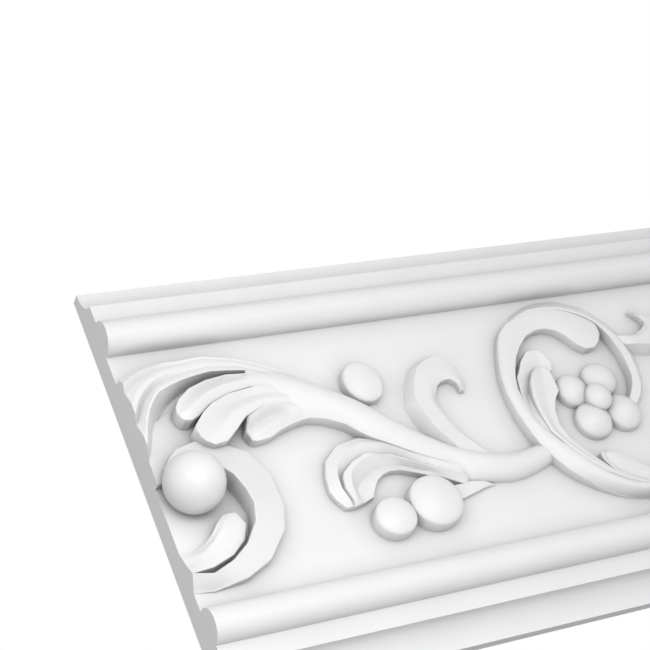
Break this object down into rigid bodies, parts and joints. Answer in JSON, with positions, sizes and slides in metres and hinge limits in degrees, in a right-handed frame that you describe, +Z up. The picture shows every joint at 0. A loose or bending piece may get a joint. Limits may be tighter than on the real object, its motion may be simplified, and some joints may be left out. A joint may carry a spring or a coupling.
{
  "type": "panel moulding",
  "caption": "Flat-backed frieze moulding with a cove, fillet and bead along both edges and scrolling leaves, berries and a flower carved on the field between them.",
  "frame": {"origin": "centre of the flat back face", "axes": "+X along the run, from the left cut end to the right cut end seen from the front; +Y out of the back face, into the wall; +Z up across the height"},
  "size_m": [0.25, 0.0254, 0.15],
  "materials": {
    "plaster": "smooth white primed casting, satin to matt"
  },
  "bodies": {
    "root": {"panel_moulding": "plaster"}
  },
  "joints": []
}
